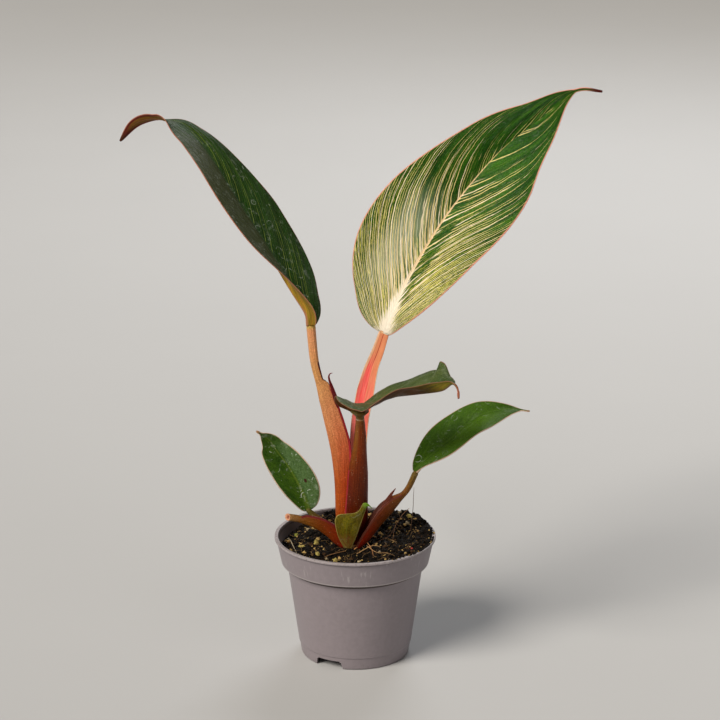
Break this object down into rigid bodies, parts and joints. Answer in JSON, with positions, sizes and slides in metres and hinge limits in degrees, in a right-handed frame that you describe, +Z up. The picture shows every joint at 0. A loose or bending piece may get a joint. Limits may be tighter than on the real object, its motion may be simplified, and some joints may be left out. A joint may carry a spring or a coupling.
{
  "type": "potted philodendron",
  "caption": "Young pin-striped philodendron with red leaf stalks, growing in a small round grey nursery pot filled with soil.",
  "frame": {"origin": "on the pot's axis, at the level of its foot ring", "axes": "+Z up along the pot's axis; -Y towards the viewer of the picture; +X to the viewer's right, the side of the large striped leaf"},
  "size_m": [0.1761, 0.0813, 0.212],
  "materials": {
    "nursery_pot": "satin",
    "potting_soil": "rough",
    "stem_and_roots": "rough",
    "cut_petiole": "satin",
    "petiole_right_low": "satin",
    "petiole_front": "satin",
    "petiole_left_tall": "satin",
    "petiole_right_tall": "satin",
    "petiole_left_low": "satin",
    "blade_right_tall": "glossy",
    "blade_left_tall": "glossy",
    "blade_front": "glossy",
    "blade_right_low": "glossy",
    "blade_left_low": "glossy",
    "cataphyll": "satin"
  },
  "bodies": {
    "root": {"nursery_pot": "nursery_pot", "potting_soil": "potting_soil", "stem_and_roots": "stem_and_roots", "cut_petiole": "cut_petiole", "petiole_right_low": "petiole_right_low", "petiole_front": "petiole_front", "petiole_left_tall": "petiole_left_tall", "petiole_right_tall": "petiole_right_tall", "petiole_left_low": "petiole_left_low", "blade_right_tall": "blade_right_tall", "blade_left_tall": "blade_left_tall", "blade_front": "blade_front", "blade_right_low": "blade_right_low", "blade_left_low": "blade_left_low", "cataphyll": "cataphyll"}
  },
  "joints": []
}
